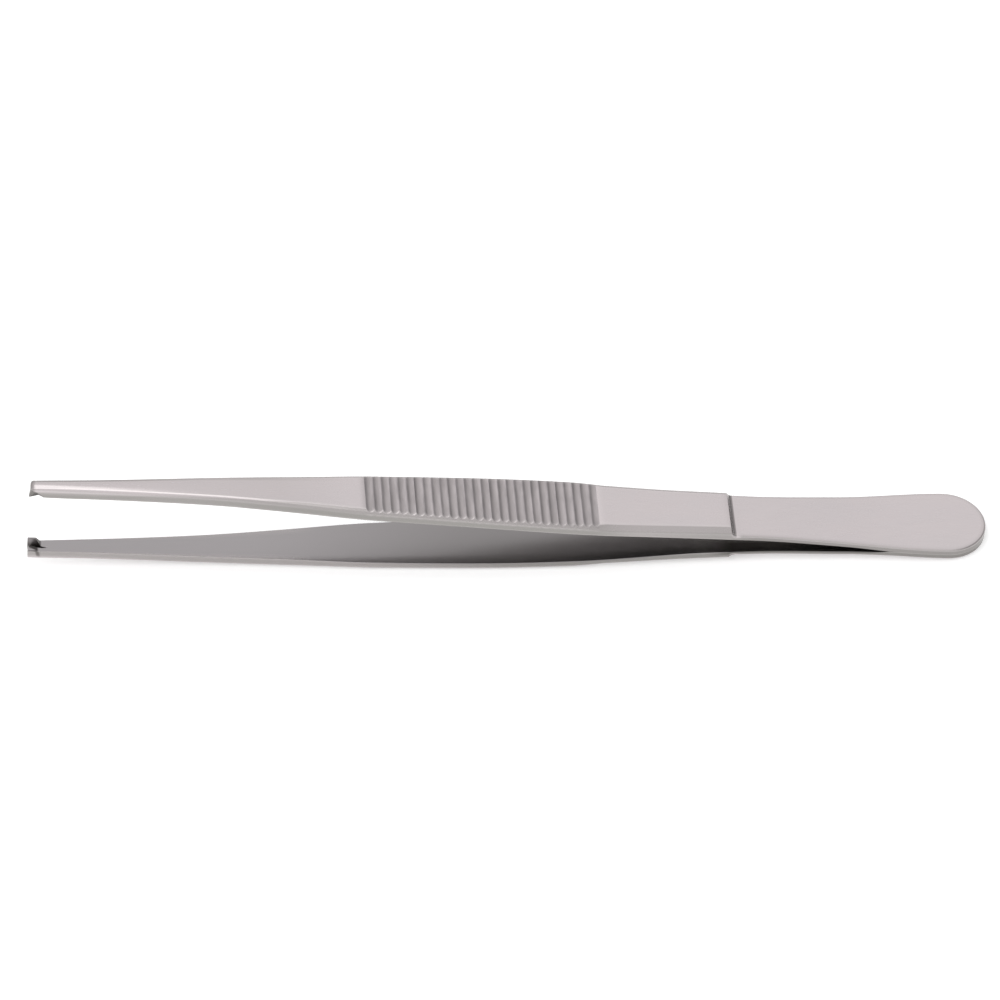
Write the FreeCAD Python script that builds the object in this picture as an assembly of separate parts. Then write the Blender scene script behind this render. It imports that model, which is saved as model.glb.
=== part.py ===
import FreeCAD, Part

import math
import os

from FreeCAD import Vector

# Thumb forceps with one tooth on the upper jaw and a two-pronged fork on the lower jaw.
# Two forged steel arms lie face to face at the rear end, where they are welded into one
# spring. Each arm has a thick front part, a rounded step, and a thin leaf behind it.
#
# All sizes are millimetres. A station is the distance from the point of the tooth towards
# the rear end, and a size named TO_END is taken forwards from the rear end. A height is
# measured outwards from the weld face between the two arms.

LENGTH = 145.0

# Plan: the width of an arm's inner face at the stations that shape it.
TIP_WIDTH = 2.3
NOSE_STATION = 12.0
NOSE_WIDTH = 3.05
SHANK_STATION = 27.0
SHANK_WIDTH = 4.55
FLARE_STATION = 39.0
FLARE_WIDTH = 6.4
SHOULDER_STATION = 52.0
SHOULDER_WIDTH = 8.5
GRIP_STATION = 82.0
GRIP_WIDTH = 10.25
HEEL_TO_END = 47.0
HEEL_WIDTH = 9.25
WAIST_TO_END = 35.5
WAIST_WIDTH = 8.75
TAIL_TO_END = 23.0
TAIL_WIDTH = 9.8
BUTT_WIDTH = 12.3

# Side view: the gap between the inner faces, and where it is measured.
TIP_GAP = 11.2
SHANK_GAP_STATION = 22.0
SHANK_GAP = 11.0
BEND_STATION = 46.0
BEND_GAP = 9.5
GRIP_GAP_STATION = 66.0
GRIP_GAP = 7.75
HEEL_GAP_TO_END = 59.0
HEEL_GAP = 5.1
LEAF_TO_END = 38.5
LEAF_GAP = 2.0
LAND_TO_END = 15.5

# Thickness of one arm.
TIP_THICKNESS = 1.85
BEND_THICKNESS = 1.7
GRIP_THICKNESS = 1.55
STEP_THICKNESS = 1.95
LEAF_THICKNESS = 0.92
BUTT_THICKNESS = 0.95

# The rounded bevel along both outer edges of the thick part, and the draft of its sides.
BEVEL_FRONT_HEIGHT = 0.65
BEVEL_HEEL_HEIGHT = 0.95
BEVEL_TIP_WIDTH = 0.8
BEVEL_NOSE_WIDTH = 1.0
BEVEL_SHANK_WIDTH = 0.9
BEVEL_BEND_WIDTH = 0.65
BEVEL_GRIP_WIDTH = 0.42
BEVEL_HEEL_WIDTH = 1.05
BEVEL_CHANGE_LENGTH = 5.0
BEVEL_BULGE = 0.16
BEVEL_FLATS = 4
SIDE_DRAFT = 0.12

# The step down to the leaf, the long bend of the leaf, and its softened outer edges.
STEP_RADIUS = 0.9
LEAF_BEND_HALF_LENGTH = 4.5
LEAF_EDGE_CHAMFER = 0.15

# Cross grooves of the grip.
GROOVE_COUNT = 28
GROOVE_FIRST_STATION = 50.6
GROOVE_PITCH = 1.285
GROOVE_RADIUS = 0.75
GROOVE_MOUTH = 1.2
GROOVE_DEPTH = 0.17

# The tooth of the upper jaw, a blunt four-sided spike.
TOOTH_HEIGHT = 0.75
TOOTH_POINT_LENGTH = 0.22
TOOTH_POINT_WIDTH = 0.24
TOOTH_ROOT_WIDTH = 0.92
TOOTH_ROOT_END = 1.9
UPPER_NOSE_SETBACK = 0.3
SHOULDER_GRIND = 1.8

# The fork of the lower jaw: two prongs with a tapering notch between them.
FORK_SETBACK = 0.1
PRONG_HEIGHT = 0.7
PRONG_CREST_END = 1.3
PRONG_ROOT_END = 1.85
PRONG_CREST_INSET = 0.12
NOTCH_CLEARANCE = 0.15
NOTCH_ROOT_WIDTH = 0.36
NOTCH_MOUTH_WIDTH = 1.5
NOTCH_END_WIDTH = 0.12
NOTCH_LENGTH = 3.0

# How far tools and hidden overlaps reach past the metal that they shape.
REACH = 1.0
LOFT_STATIONS = 31
PROFILE_STATIONS = 12
SUPPORT_SAMPLES = 290

BUTT_RADIUS = BUTT_WIDTH / 2
BUTT_CENTRE = LENGTH - BUTT_RADIUS
HEEL_STATION = LENGTH - HEEL_TO_END
WAIST_STATION = LENGTH - WAIST_TO_END
TAIL_STATION = LENGTH - TAIL_TO_END
HEEL_GAP_STATION = LENGTH - HEEL_GAP_TO_END
LEAF_STATION = LENGTH - LEAF_TO_END
LAND_STATION = LENGTH - LAND_TO_END
GROOVE_END_STATION = GROOVE_FIRST_STATION + GROOVE_COUNT * GROOVE_PITCH

PLAN = (
    (0.0, TIP_WIDTH),
    (NOSE_STATION, NOSE_WIDTH),
    (SHANK_STATION, SHANK_WIDTH),
    (FLARE_STATION, FLARE_WIDTH),
    (SHOULDER_STATION, SHOULDER_WIDTH),
    (GRIP_STATION, GRIP_WIDTH),
    (HEEL_STATION, HEEL_WIDTH),
    (WAIST_STATION, WAIST_WIDTH),
    (TAIL_STATION, TAIL_WIDTH),
    (BUTT_CENTRE, BUTT_WIDTH),
    (LENGTH, BUTT_WIDTH),
)

GAP = (
    (0.0, TIP_GAP),
    (SHANK_GAP_STATION, SHANK_GAP),
    (BEND_STATION, BEND_GAP),
    (GRIP_GAP_STATION, GRIP_GAP),
    (HEEL_GAP_STATION, HEEL_GAP),
    (LEAF_STATION, LEAF_GAP),
    (LAND_STATION, 0.0),
)

THICKNESS = (
    (0.0, TIP_THICKNESS),
    (BEND_STATION, BEND_THICKNESS),
    (GRIP_GAP_STATION, GRIP_THICKNESS),
    (HEEL_GAP_STATION, GRIP_THICKNESS),
    (LEAF_STATION, STEP_THICKNESS),
)

DRAFT = (
    (HEEL_GAP_STATION, SIDE_DRAFT),
    (LEAF_STATION, 0.0),
)

BEVEL_HEIGHT = (
    (GROOVE_END_STATION - BEVEL_CHANGE_LENGTH, BEVEL_FRONT_HEIGHT),
    (GROOVE_END_STATION, BEVEL_HEEL_HEIGHT),
)

BEVEL_WIDTH = (
    (0.0, BEVEL_TIP_WIDTH),
    (NOSE_STATION, BEVEL_NOSE_WIDTH),
    (SHANK_STATION, BEVEL_SHANK_WIDTH),
    (BEND_STATION, BEVEL_BEND_WIDTH),
    (GRIP_GAP_STATION, BEVEL_GRIP_WIDTH),
    (GROOVE_END_STATION - BEVEL_CHANGE_LENGTH, BEVEL_GRIP_WIDTH),
    (GROOVE_END_STATION, BEVEL_HEEL_WIDTH),
)


def smooth_value(points, station):
    """Monotone cubic through (station, value) points, level beyond both ends."""
    if station <= points[0][0]:
        return points[0][1]
    if station >= points[-1][0]:
        return points[-1][1]
    secants = []
    for (here, value), (there, next_value) in zip(points, points[1:]):
        secants.append((next_value - value) / (there - here))
    slopes = [secants[0]]
    for before, after in zip(secants, secants[1:]):
        turns = before * after <= 0
        slopes.append(0.0 if turns else 2 * before * after / (before + after))
    slopes.append(secants[-1])
    index = 0
    while station > points[index + 1][0]:
        index += 1
    here, value = points[index]
    there, next_value = points[index + 1]
    span = there - here
    t = (station - here) / span
    rise = value * (1 + 2 * t) * (1 - t) ** 2 + next_value * t * t * (3 - 2 * t)
    lean = slopes[index] * t * (1 - t) ** 2 - slopes[index + 1] * t * t * (1 - t)
    return rise + span * lean


def inner_height(station):
    """Height of the inner face, which is straight along the leaf."""
    if station <= LEAF_STATION:
        return smooth_value(GAP, station) / 2
    if station <= LAND_STATION:
        along = (station - LEAF_STATION) / (LAND_STATION - LEAF_STATION)
        return LEAF_GAP / 2 * (1 - along)
    return 0.0


def outer_height(station):
    """Height of the thick part's outer face, carried on past the step."""
    return inner_height(station) + smooth_value(THICKNESS, station)


def side_prism(corners):
    """Extrude a closed outline of (station, height) corners across the arm."""
    half = BUTT_WIDTH
    points = [Vector(station, -half, height) for station, height in corners]
    face = Part.Face(Part.makePolygon(points + points[:1]))
    return face.extrude(Vector(0, 2 * half, 0))


def bevel_outline(station):
    """One rounded bevel as short flats, from the top of the side to the outer face."""
    side = smooth_value(PLAN, station) / 2 - smooth_value(DRAFT, station)
    width = smooth_value(BEVEL_WIDTH, station)
    rise = smooth_value(BEVEL_HEIGHT, station)
    waist = outer_height(station) - rise
    chord = math.hypot(width, rise)
    outline = []
    for index in range(BEVEL_FLATS + 1):
        along = index / BEVEL_FLATS
        bow = 4 * along * (1 - along) * BEVEL_BULGE / chord
        across = side - width * along + rise * bow
        outline.append((across, waist + rise * along + width * bow))
    return outline


def arm_section(station):
    """Cross-section of the thick part: flat faces, drafted sides, rounded bevels."""
    bevel = bevel_outline(station)
    shoulder, waist = bevel[0]
    inner = inner_height(station)
    draft = smooth_value(DRAFT, station)
    foot = shoulder + draft * (1 + REACH / (waist - inner))
    right = [(foot, inner - REACH)] + bevel
    left = [(-across, height) for across, height in reversed(right)]
    points = [Vector(station, across, height) for across, height in right + left]
    return Part.makePolygon(points + points[:1])


def thick_blank():
    """The outer form of the thick part, as far back as the foot of its step."""
    sections = []
    for index in range(LOFT_STATIONS):
        sections.append(arm_section(LEAF_STATION * index / (LOFT_STATIONS - 1)))
    return Part.makeLoft(sections, True)


def profile_prism(edges):
    """Extrude a closed side-view outline across the whole arm."""
    wire = Part.Wire(edges)
    wire.translate(Vector(0, -BUTT_WIDTH, 0))
    return Part.Face(wire).extrude(Vector(0, 2 * BUTT_WIDTH, 0))


def inside_tool():
    """Everything on the inner side of the inner face, as far back as the step's foot."""
    points = []
    for index in range(PROFILE_STATIONS):
        station = LEAF_STATION * index / (PROFILE_STATIONS - 1)
        points.append(Vector(station, 0, inner_height(station)))
    curve = Part.BSplineCurve()
    curve.interpolate(points)
    front = Vector(-REACH, 0, points[0].z)
    rear = Vector(LEAF_STATION + REACH, 0, points[-1].z)
    front_floor = Vector(-REACH, 0, -2 * REACH)
    rear_floor = Vector(rear.x, 0, -2 * REACH)
    return profile_prism([
        Part.makeLine(front, points[0]),
        curve.toShape(),
        Part.makeLine(points[-1], rear),
        Part.makeLine(rear, rear_floor),
        Part.makeLine(rear_floor, front_floor),
        Part.makeLine(front_floor, front),
    ])


def leaf_outer_height(station):
    """Height of the leaf's straight outer face."""
    slope = LEAF_GAP / 2 / (LAND_STATION - LEAF_STATION)
    return LEAF_THICKNESS + slope * (LAND_STATION - station)


def step_tool():
    """What lies outside the hollow of the step."""
    foot = Vector(LEAF_STATION, 0, leaf_outer_height(LEAF_STATION))
    brow = foot + Vector(-STEP_RADIUS, 0, STEP_RADIUS)
    bow = STEP_RADIUS * math.sqrt(0.5)
    hollow = foot + Vector(-bow, 0, STEP_RADIUS - bow)
    brow_top = Vector(brow.x, 0, outer_height(0.0) + REACH)
    behind = foot + Vector(REACH, 0, 0)
    behind_top = Vector(behind.x, 0, brow_top.z)
    return profile_prism([
        Part.makeLine(brow_top, brow),
        Part.Arc(brow, hollow, foot).toShape(),
        Part.makeLine(foot, behind),
        Part.makeLine(behind, behind_top),
        Part.makeLine(behind_top, brow_top),
    ])


def leaf_side_view():
    """The leaf's side view: straight, then a long bend into the flat rear end."""
    foot = Vector(LEAF_STATION, 0, leaf_outer_height(LEAF_STATION))
    bend_station = LAND_STATION - LEAF_BEND_HALF_LENGTH
    bend_start = Vector(bend_station, 0, leaf_outer_height(bend_station))
    bend_end = Vector(LAND_STATION + LEAF_BEND_HALF_LENGTH, 0, BUTT_THICKNESS)
    corner = Vector(LAND_STATION, 0, BUTT_THICKNESS)
    bend_middle = (bend_start + bend_end) * 0.25 + corner * 0.5
    rear = Vector(LENGTH + REACH / 2, 0, BUTT_THICKNESS)
    inner_foot = Vector(LEAF_STATION, 0, inner_height(LEAF_STATION))
    land = Vector(LAND_STATION, 0, 0)
    inner_rear = Vector(rear.x, 0, 0)
    return profile_prism([
        Part.makeLine(foot, bend_start),
        Part.Arc(bend_start, bend_middle, bend_end).toShape(),
        Part.makeLine(bend_end, rear),
        Part.makeLine(rear, inner_rear),
        Part.makeLine(inner_rear, land),
        Part.makeLine(land, inner_foot),
        Part.makeLine(inner_foot, foot),
    ])


def leaf_plan():
    """The leaf's plan: two waisted sides that run into a half-round rear end."""
    side = []
    for index in range(PROFILE_STATIONS):
        station = LEAF_STATION + (BUTT_CENTRE - LEAF_STATION) * index / (PROFILE_STATIONS - 1)
        side.append(Vector(station, smooth_value(PLAN, station) / 2, -REACH))
    left = Part.BSplineCurve()
    left.interpolate(side)
    right = Part.BSplineCurve()
    right.interpolate([Vector(point.x, -point.y, point.z) for point in side])
    front, rear = side[0], side[-1]
    front_right = Vector(front.x, -front.y, front.z)
    rear_right = Vector(rear.x, -rear.y, rear.z)
    end = Vector(LENGTH, 0, -REACH)
    wire = Part.Wire([
        left.toShape(),
        Part.Arc(rear, end, rear_right).toShape(),
        right.toShape(),
        Part.makeLine(front_right, front),
    ])
    height = leaf_outer_height(LEAF_STATION) + 2 * REACH
    return Part.Face(wire).extrude(Vector(0, 0, height))


def grip_grooves():
    """Round-bottomed grooves straight across the outer face, one solid for each."""
    half = GROOVE_MOUTH / 2
    sagitta = GROOVE_RADIUS - math.sqrt(GROOVE_RADIUS ** 2 - half ** 2)
    grooves = []
    for index in range(GROOVE_COUNT):
        station = GROOVE_FIRST_STATION + index * GROOVE_PITCH
        root = Vector(station, 0, outer_height(station) - GROOVE_DEPTH)
        front = root + Vector(-half, 0, sagitta)
        rear = root + Vector(half, 0, sagitta)
        grooves.append(profile_prism([
            Part.Arc(front, root, rear).toShape(),
            Part.makeLine(rear, front),
        ]))
    return grooves


def soften_outer_edges(leaf):
    """Break the edges along the leaf's outer face and around the rear end."""
    edges = []
    for edge in leaf.Edges:
        box = edge.BoundBox
        outer = box.ZMin > BUTT_THICKNESS / 2
        round_end = box.XMax > LENGTH - REACH
        along = box.XLength > box.YLength
        if outer and (along or round_end):
            edges.append(edge)
    return leaf.makeChamfer(LEAF_EDGE_CHAMFER, edges)


def plain_arm():
    """One arm before its jaw is shaped, with its weld face at height zero."""
    thick = thick_blank().cut(inside_tool()).cut(step_tool()).cut(grip_grooves())
    leaf = soften_outer_edges(leaf_side_view().common(leaf_plan()))
    return thick.fuse(leaf)


def frustum(base, base_height, crown, crown_height):
    """Straight-sided spike between two level rectangles (start, end, left, right)."""
    rings = []
    for (start, end, left, right), height in ((base, base_height), (crown, crown_height)):
        corners = [
            Vector(start, left, height),
            Vector(end, left, height),
            Vector(end, right, height),
            Vector(start, right, height),
        ]
        rings.append(Part.makePolygon(corners + corners[:1]))
    return Part.makeLoft(rings, True, True)


def upper_jaw(arm):
    """Grind back the nose and its shoulders, and leave a single tooth."""
    inner = inner_height(0.0)
    outer = outer_height(0.0)
    slope = SHOULDER_GRIND / (outer - BEVEL_FRONT_HEIGHT - inner)
    nose = side_prism([
        (-REACH, outer + REACH),
        (UPPER_NOSE_SETBACK, outer + REACH),
        (UPPER_NOSE_SETBACK, outer - BEVEL_FRONT_HEIGHT),
        (UPPER_NOSE_SETBACK + SHOULDER_GRIND + slope * REACH, inner - REACH),
        (-REACH, inner - REACH),
    ])
    root_height = outer - BEVEL_FRONT_HEIGHT
    grow = (root_height - inner + TOOTH_HEIGHT) / TOOTH_HEIGHT
    root_half = (TOOTH_POINT_WIDTH + (TOOTH_ROOT_WIDTH - TOOTH_POINT_WIDTH) * grow) / 2
    root_end = TOOTH_POINT_LENGTH + (TOOTH_ROOT_END - TOOTH_POINT_LENGTH) * grow
    point_half = TOOTH_POINT_WIDTH / 2
    tooth = frustum(
        (UPPER_NOSE_SETBACK, root_end, -root_half, root_half),
        root_height,
        (0.0, TOOTH_POINT_LENGTH, -point_half, point_half),
        inner - TOOTH_HEIGHT,
    )
    return arm.cut(nose).fuse(tooth).Solids[0]


def lower_jaw(arm):
    """Add two prongs across the full width, and cut the notch between them."""
    inner = inner_height(0.0)
    crest = inner - PRONG_HEIGHT
    buried = inner + REACH
    slope = (PRONG_ROOT_END - PRONG_CREST_END) / PRONG_HEIGHT
    half = TIP_WIDTH / 2 - SIDE_DRAFT / 2
    ridge = frustum(
        (FORK_SETBACK, PRONG_ROOT_END + slope * REACH, -half, half),
        buried,
        (FORK_SETBACK, PRONG_CREST_END, -half + PRONG_CREST_INSET, half - PRONG_CREST_INSET),
        crest,
    )
    front = side_prism([
        (-REACH, -REACH),
        (FORK_SETBACK, -REACH),
        (FORK_SETBACK, outer_height(0.0) + REACH),
        (-REACH, outer_height(0.0) + REACH),
    ])
    notch_depth = TOOTH_HEIGHT + NOTCH_CLEARANCE
    rings = []
    for station, root, mouth, depth in (
        (FORK_SETBACK, NOTCH_ROOT_WIDTH, NOTCH_MOUTH_WIDTH, notch_depth),
        (FORK_SETBACK + NOTCH_LENGTH, NOTCH_END_WIDTH, NOTCH_ROOT_WIDTH, 0.0),
    ):
        corners = [
            Vector(station, -root / 2, inner + depth),
            Vector(station, root / 2, inner + depth),
            Vector(station, mouth / 2, crest),
            Vector(station, -mouth / 2, crest),
        ]
        rings.append(Part.makePolygon(corners + corners[:1]))
    notch = Part.makeLoft(rings, True, True)
    return arm.fuse(ridge).cut(front).cut(notch).Solids[0]


def support_line(balance):
    """The two stations of the lower outline that the forceps rests on.

    They are the ends of the stretch of the outline's hull that lies under the balance point.
    """
    outline = []
    for index in range(SUPPORT_SAMPLES + 1):
        station = BUTT_CENTRE * index / SUPPORT_SAMPLES
        thick = station < LEAF_STATION - STEP_RADIUS
        height = outer_height(station) if thick else leaf_outer_height(station)
        outline.append((station, max(height, BUTT_THICKNESS)))
    outline.append((LENGTH - LEAF_EDGE_CHAMFER, BUTT_THICKNESS))
    hull = []
    for point in outline:
        while len(hull) > 1 and turns_outwards(hull[-2], hull[-1], point):
            hull.pop()
        hull.append(point)
    for front, rear in zip(hull, hull[1:]):
        if front[0] <= balance <= rear[0]:
            return front, rear
    return hull[0], hull[-1]


def turns_outwards(first, second, third):
    """True where the second point lies inside the line from the first to the third."""
    run = (second[0] - first[0]) * (third[1] - first[1])
    rise = (second[1] - first[1]) * (third[0] - first[0])
    return run >= rise


def at_rest(arms):
    """Lay the pair on the floor on its lower arm, centred over the origin."""
    volume = sum(arm.Volume for arm in arms)
    balance = sum(arm.Volume * arm.CenterOfMass.x for arm in arms) / volume
    front, rear = support_line(balance)
    tilt = math.degrees(math.atan2(front[1] - rear[1], rear[0] - front[0]))
    touch = Vector(rear[0], 0, -rear[1])
    placed = []
    for arm in arms:
        moved = arm.copy()
        moved.rotate(touch, Vector(0, 1, 0), tilt)
        placed.append(moved)
    box = Part.makeCompound(placed).optimalBoundingBox(False)
    shift = Vector(-(box.XMin + box.XMax) / 2, -(box.YMin + box.YMax) / 2, -box.ZMin)
    for arm in placed:
        arm.translate(shift)
    return placed


def main():
    os.makedirs("parts", exist_ok=True)
    blank = plain_arm()
    upper = upper_jaw(blank)
    lower = lower_jaw(blank).mirror(Vector(0, 0, 0), Vector(0, 0, 1))
    upper, lower = at_rest([upper, lower])
    upper.exportStep("parts/upper_arm.step")
    lower.exportStep("parts/lower_arm.step")


if __name__ == "__main__":
    main()
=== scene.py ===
import math

import bmesh
import bpy
import numpy as np
from mathutils import Matrix, Vector


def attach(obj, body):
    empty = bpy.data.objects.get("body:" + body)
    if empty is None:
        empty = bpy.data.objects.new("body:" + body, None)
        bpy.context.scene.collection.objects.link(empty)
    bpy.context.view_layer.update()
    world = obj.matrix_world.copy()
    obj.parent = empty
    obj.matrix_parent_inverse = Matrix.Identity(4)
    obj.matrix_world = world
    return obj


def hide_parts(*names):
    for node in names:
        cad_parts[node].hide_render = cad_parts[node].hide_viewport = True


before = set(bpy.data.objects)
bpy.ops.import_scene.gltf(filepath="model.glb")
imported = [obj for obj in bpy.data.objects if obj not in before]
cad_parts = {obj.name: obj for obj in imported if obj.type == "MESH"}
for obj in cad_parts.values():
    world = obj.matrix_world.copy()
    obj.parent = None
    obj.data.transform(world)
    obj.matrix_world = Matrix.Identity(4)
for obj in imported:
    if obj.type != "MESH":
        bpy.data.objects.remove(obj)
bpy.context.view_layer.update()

# Thumb forceps with one tooth on the upper jaw and a two-pronged fork on the lower jaw.
# Each arm is one closed surface, worked out in millimetres and then laid on the floor.
# A station runs from the point of the tooth to the rear end. A height is measured outwards
# from the weld face between the arms. The near side is the one that faces the camera.
# A pair named for a fade holds where a mask or a change is nothing and where it is full.

MM = 0.001
LENGTH = 145.0

# Plan, gap and thickness, as (station, size). The plan and the gap are full sizes.
BUTT_RADIUS = 6.15
BUTT_WIDTH = 2 * BUTT_RADIUS
REAR_TRIM = 0.026
BUTT_CENTRE = LENGTH - BUTT_RADIUS - REAR_TRIM
PLAN = (
    (0.0, 2.3), (12.0, 3.15), (27.0, 4.7), (39.0, 6.45), (52.0, 8.5), (82.0, 10.25),
    (98.0, 9.25), (109.5, 8.75), (122.0, 9.8), (BUTT_CENTRE, BUTT_WIDTH), (LENGTH, BUTT_WIDTH),
)
LEAF_STATION = 106.5
LAND_STATION = 129.5
LEAF_GAP = 2.0
LEAF_SLOPE = LEAF_GAP / 2 / (LAND_STATION - LEAF_STATION)
GAP = (
    (0.0, 11.2), (22.0, 11.0), (46.0, 9.5), (66.0, 7.75), (86.0, 5.1),
    (LEAF_STATION, LEAF_GAP), (LAND_STATION, 0.0),
)
THICKNESS = ((0.0, 1.85), (46.0, 1.7), (66.0, 1.55), (86.0, 1.55), (LEAF_STATION, 1.95))
DRAFT = ((86.0, 0.12), (LEAF_STATION, 0.0))

# Bevel between the outer face and the side, and the crown of the outer face.
HEEL_BEVEL_START = 81.58
HEEL_BEVEL_END = 86.58
BEVEL_WIDTH = (
    (0.0, 0.78), (12.0, 0.95), (27.0, 0.88), (46.0, 0.8), (66.0, 0.72),
    (HEEL_BEVEL_START, 0.75), (HEEL_BEVEL_END, 1.05),
)
TIP_BEVEL_HEIGHT = 0.65
BEVEL_HEIGHT = (
    (35.0, TIP_BEVEL_HEIGHT), (50.0, 0.85), (HEEL_BEVEL_START, 0.85), (HEEL_BEVEL_END, 0.95),
)
BEVEL_BULGE = 0.2
CROWN = ((0.0, 0.23), (7.0, 0.14), (20.0, 0.12), (42.0, 0.0))

# Leaf, step and rounded edges.
LEAF_THICKNESS = 0.92
BUTT_THICKNESS = 0.95
LEAF_BEND = 4.5
LEAF_WAIST = 0.55
STEP_RADIUS = 0.9
BROW_RADIUS = 0.12
BROW_SETBACK = 0.01
LEAF_ROUND = 0.32
THICK_ROUND = 0.04
INNER_ROUND = 0.07
LEAST_ROUND = 0.003
WELD_FADE = (LAND_STATION - 4.0, LAND_STATION)
UPPER_NOSE_ROUND = 0.5
LOWER_NOSE_ROUND = 0.08

# Grip. The grooves wander and differ in depth as if rolled by hand.
GROOVE_COUNT = 28
GROOVE_FIRST = 50.85
GROOVE_PITCH = 1.263
GROOVE_RADIUS = 0.9
GROOVE_DEPTH = 0.2
GROOVE_LIP = 0.05
GROOVE_SEED = 7
GROOVE_WANDER = 0.06
GROOVE_UNEVEN = 0.18
GRIP_START = GROOVE_FIRST - GROOVE_PITCH / 2
GRIP_END = GRIP_START + GROOVE_COUNT * GROOVE_PITCH

# How the arms lie: the upper one sinks over the grip, the lower one spreads at its tip and
# bends sideways behind its grip, and the slot is a little wider between the leaves. The pair
# is tilted until the lower arm lies on the floor.
UPPER_DROP = ((30.0, 0.0), (46.0, 0.16), (54.0, 0.22), (86.0, 0.2), (103.0, 0.0))
LOWER_SPREAD = 0.17
LOWER_SPREAD_FADE = (50.0, 0.0)
LOWER_ASIDE = ((50.0, 0.0), (75.0, 0.2), (100.0, 0.32), (118.0, 0.3), (132.0, 0.0))
SLOT_WIDER = 0.2
SLOT_DEPTH = 0.6
SLOT_WIDER_FADE = (100.0, 106.0)
SLOT_CLOSE_FADE = (LAND_STATION, LAND_STATION - 0.8)
TILT_SINE = 0.05671

# Jaws: the upper nose and its tooth, the lower fork and its notch. A prong is the station
# where its crest ends and the one where its root ends.
UPPER_NOSE = 0.2
SHOULDER_GRIND = 1.8
SHOULDER_POWER = 0.75
GRIND_LENGTH = 3.2
TOOTH_HEIGHT = 0.88
TOOTH_TOP = (0.3, 4.6, 1.0)
TOOTH_POINT = (0.02, 0.26, 0.13)
TOOTH_SIDES = 24
TOOTH_SQUARENESS = 0.45
TOOTH_LEVELS = (0.0, 0.3, 0.6, 0.85, 0.96, 1.0)
TOOTH_SHRINK = (1.0, 1.0, 1.0, 1.0, 0.9, 0.6)
LOWER_NOSE = 0.24
PRONG_HEIGHT = 0.82
NEAR_PRONG = (0.35, 1.75)
FAR_PRONG = (1.5, 2.2)
PRONG_CREST_HALF = 0.97
PRONG_ROOT_HALF = 1.03
NOTCH_LENGTH = 3.0
NOTCH_ROOT_HALF = 0.18
NOTCH_END_HALF = 0.06
NOTCH_MOUTH_HALF = 0.88
NOTCH_DEPTH = 0.9
NOTCH_SKEW = (-0.45, 0.33)
NOTCH_SKEW_END = 2.5
SKEW_HALF = 1.02
WALL_SPREAD = 0.03
RAIL_SPREAD = 0.2
RAIL_SPREAD_LENGTH = 3.0

# How finely each arm is divided: rings along it and columns round each ring.
JAW_END = 4.2
JAW_RINGS = 30
FRONT_RINGS = 50
RINGS_PER_GROOVE = 12
HEEL_RINGS = 22
HOLLOW_RINGS = 9
LEAF_RINGS = 40
END_RINGS = 22
TURN_STEPS = 4
FACE_STEPS = 12
BEVEL_STEPS = 9
BEVEL_CROWDING = 1.6
SIDE_STEPS = 3
RAIL_STEPS = (1, 3, 4, 2, 2)

# Columns at which the parts of a ring start, counted from the middle of the outer face.
BEVEL_COLUMN = FACE_STEPS + TURN_STEPS
SIDE_COLUMN = BEVEL_COLUMN + BEVEL_STEPS
CORNER_COLUMN = SIDE_COLUMN + SIDE_STEPS + TURN_STEPS
INNER_COLUMN = CORNER_COLUMN + 1
MIDDLE_COLUMN = CORNER_COLUMN + sum(RAIL_STEPS)

# Worn edges, and ground sides whose colour also carries painted shade. On the near side a
# painted highlight keeps the outer face's lighter colour over the bevel towards the tip, and
# on the far side the painted shade of the bevel reaches the outer face. The painted shade of
# the side changes along each arm, and the outer face is painted a little darker towards the tip.
LOWER_EDGE_WEAR = 0.1
LEAF_EDGE_WEAR = 0.2
BEVEL_SHADE = 0.65
BEVEL_FADE_STEPS = 2
HIGHLIGHT_FADE = (40.0, 10.0)
HIGHLIGHT_SHIFT = 6
HIGHLIGHT_SPREAD = 4
FAR_FADE = (GROOVE_FIRST - 3.0, GROOVE_FIRST - 17.0)
FAR_SHADE = ((3.0, 1.54), (14.0, 1.25), (27.0, 0.8))
FAR_COLUMNS = (FACE_STEPS - 5, FACE_STEPS - 1)
SIDE_COLUMNS = (SIDE_COLUMN - 3, SIDE_COLUMN)
LEAF_BEVEL_COLUMNS = (FACE_STEPS - 1, BEVEL_COLUMN - 1)
LEAF_SIDE_COLUMNS = (FACE_STEPS + 2, BEVEL_COLUMN + 2)
UPPER_SIDE_SHADE = (
    (8.0, 1.0), (20.0, 0.9), (45.0, 1.0), (84.0, 1.0), (92.0, 0.74), (104.0, 0.85),
)
LOWER_SIDE_SHADE = ((0.0, 0.8), (20.0, 0.65), (45.0, 0.65), (75.0, 1.0))
TIP_SHADE = 0.15
TIP_FADE = (48.0, 38.0)

# Inner face and grip. Far in between the arms the inner face carries painted shade.
INNER_FADE_STEPS = 2
UPPER_INNER_SPILL = 2.0
LOWER_INNER_SPILL = 4.0
INNER_SPILL_FADE = (40.0, 55.0)
DEEP_FRONT_FADE = (30.0, 75.0)
DEEP_REAR_FADE = (108.0, 104.0)
# Painted light on the inner faces of the leaves, in the slot between them.
LEAF_LIGHT_FADE = (90.0, 114.0)
GRIP_COLUMNS = (BEVEL_COLUMN + 4, BEVEL_COLUMN)
# Painted shade in the hollow of the step.
HOLLOW_START = LEAF_STATION - STEP_RADIUS - 0.02
HOLLOW_FRONT_FADE = (HOLLOW_START, HOLLOW_START + 0.05)
HOLLOW_REAR_FADE = (LEAF_STATION, LEAF_STATION - 0.12)

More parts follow.
